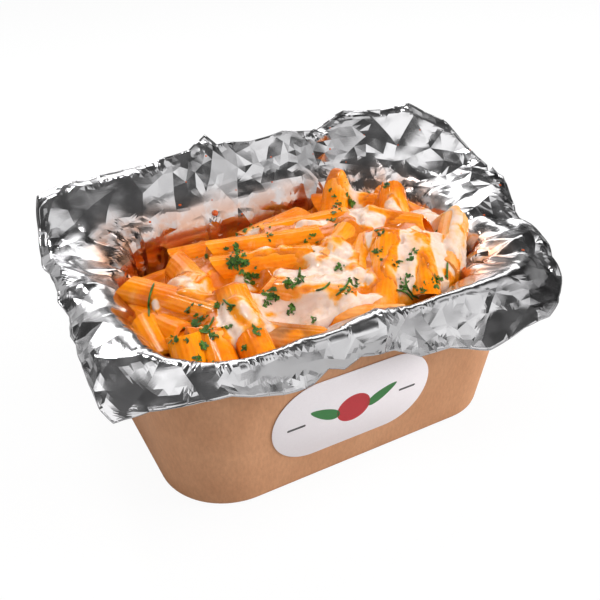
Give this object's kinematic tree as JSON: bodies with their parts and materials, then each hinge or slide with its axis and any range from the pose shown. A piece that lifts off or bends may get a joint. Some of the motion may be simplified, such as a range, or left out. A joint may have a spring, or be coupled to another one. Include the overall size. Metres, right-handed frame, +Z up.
{
  "type": "baked penne pasta in a foil-lined paper tray",
  "caption": "Baked penne in tomato sauce with melted cheese and parsley, in a crumpled foil liner inside a kraft paper takeaway tray.",
  "frame": {"origin": "middle of the tray's flat bottom", "axes": "+X along the tray's long side, -Y out of the front wall with the sticker, +Z up"},
  "size_m": [0.2164, 0.1617, 0.1053],
  "materials": {
    "kraft": "matt brown kraft board",
    "sticker": "smooth white label",
    "foil": "bright crumpled household foil",
    "pasta": "penne coated in oily orange tomato sauce",
    "cheese": "melted cheese, oily and slightly translucent"
  },
  "bodies": {
    "root": {"kraft_tray": "kraft", "front_sticker": "sticker", "foil_liner": "foil", "penne_heap": "pasta", "melted_cheese_middle": "cheese", "melted_cheese_right": "cheese", "melted_cheese_column": "cheese", "melted_cheese_back": "cheese", "melted_cheese_left": "cheese"}
  },
  "joints": []
}
